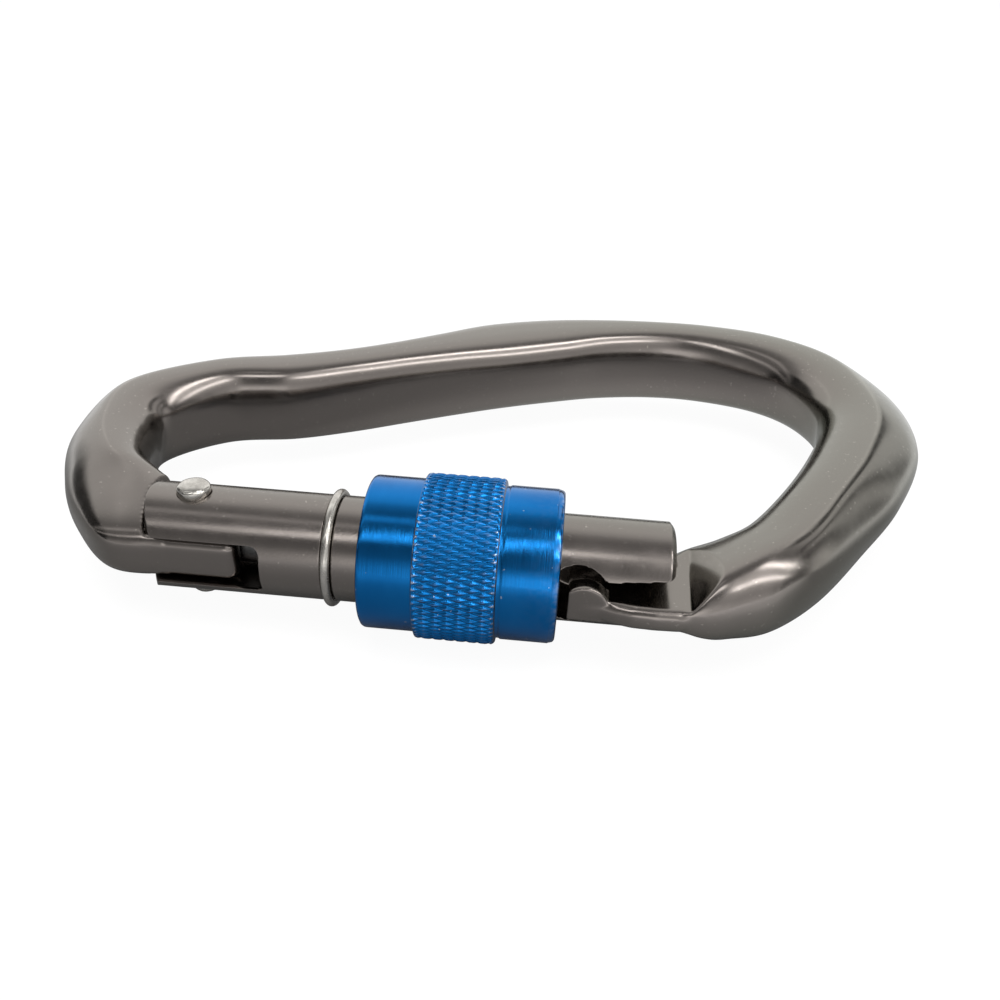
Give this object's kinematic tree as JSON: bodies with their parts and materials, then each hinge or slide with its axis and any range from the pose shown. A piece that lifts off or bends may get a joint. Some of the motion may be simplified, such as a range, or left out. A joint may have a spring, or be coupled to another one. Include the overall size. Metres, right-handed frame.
{
  "type": "locking carabiner",
  "caption": "Pear-shaped locking carabiner with a sprung round gate, a keyhole nose and a knurled screw sleeve over a stop ring.",
  "frame": {"origin": "middle of the carabiner's box, in its own middle plane", "axes": "+X along the gate from the hinge to the wide end, +Y from the gate to the spine, +Z square to the carabiner's plane"},
  "size_m": [0.1128, 0.0728, 0.0186],
  "materials": {
    "anodised_grey": "satin gunmetal anodising",
    "anodised_blue": "turned and knurled blue anodising",
    "steel": "bare bright steel",
    "dark_steel": "blackened steel"
  },
  "bodies": {
    "frame": {"body": "anodised_grey"},
    "gate": {"gate": "anodised_grey", "rivet": "steel", "spring": "steel"},
    "plunger": {"plunger": "dark_steel"},
    "ring": {"stop_ring": "steel"},
    "sleeve": {"sleeve": "anodised_blue"}
  },
  "joints": [
    {"name": "gate_hinge", "type": "hinge", "parent": "frame", "child": "gate", "pos_m": [-0.03321, -0.02704, 0], "axis": [0, 0, 1], "range_deg": [0, 26], "stiffness_Nm_per_rad": 0.3, "springref_deg": -28.65},
    {"name": "plunger_slide", "type": "slide", "parent": "gate", "child": "plunger", "axis": [1, 0, 0], "range_m": [0, 0.00072], "deforming": ["spring"]},
    {"name": "sleeve_turn", "type": "hinge", "parent": "gate", "child": "ring", "pos_m": [-0.01736, -0.02704, 0], "axis": [1, 0, 0], "range_deg": [-560, 870]},
    {"name": "sleeve_travel", "type": "slide", "parent": "ring", "child": "sleeve", "axis": [1, 0, 0], "range_m": [-0.0032, 0.0049]}
  ],
  "couplings": [
    {"joint": "plunger_slide", "follows": "gate_hinge", "m_per_rad": 0.00155},
    {"joint": "sleeve_travel", "follows": "sleeve_turn", "m_per_rad": 0.00031831}
  ]
}
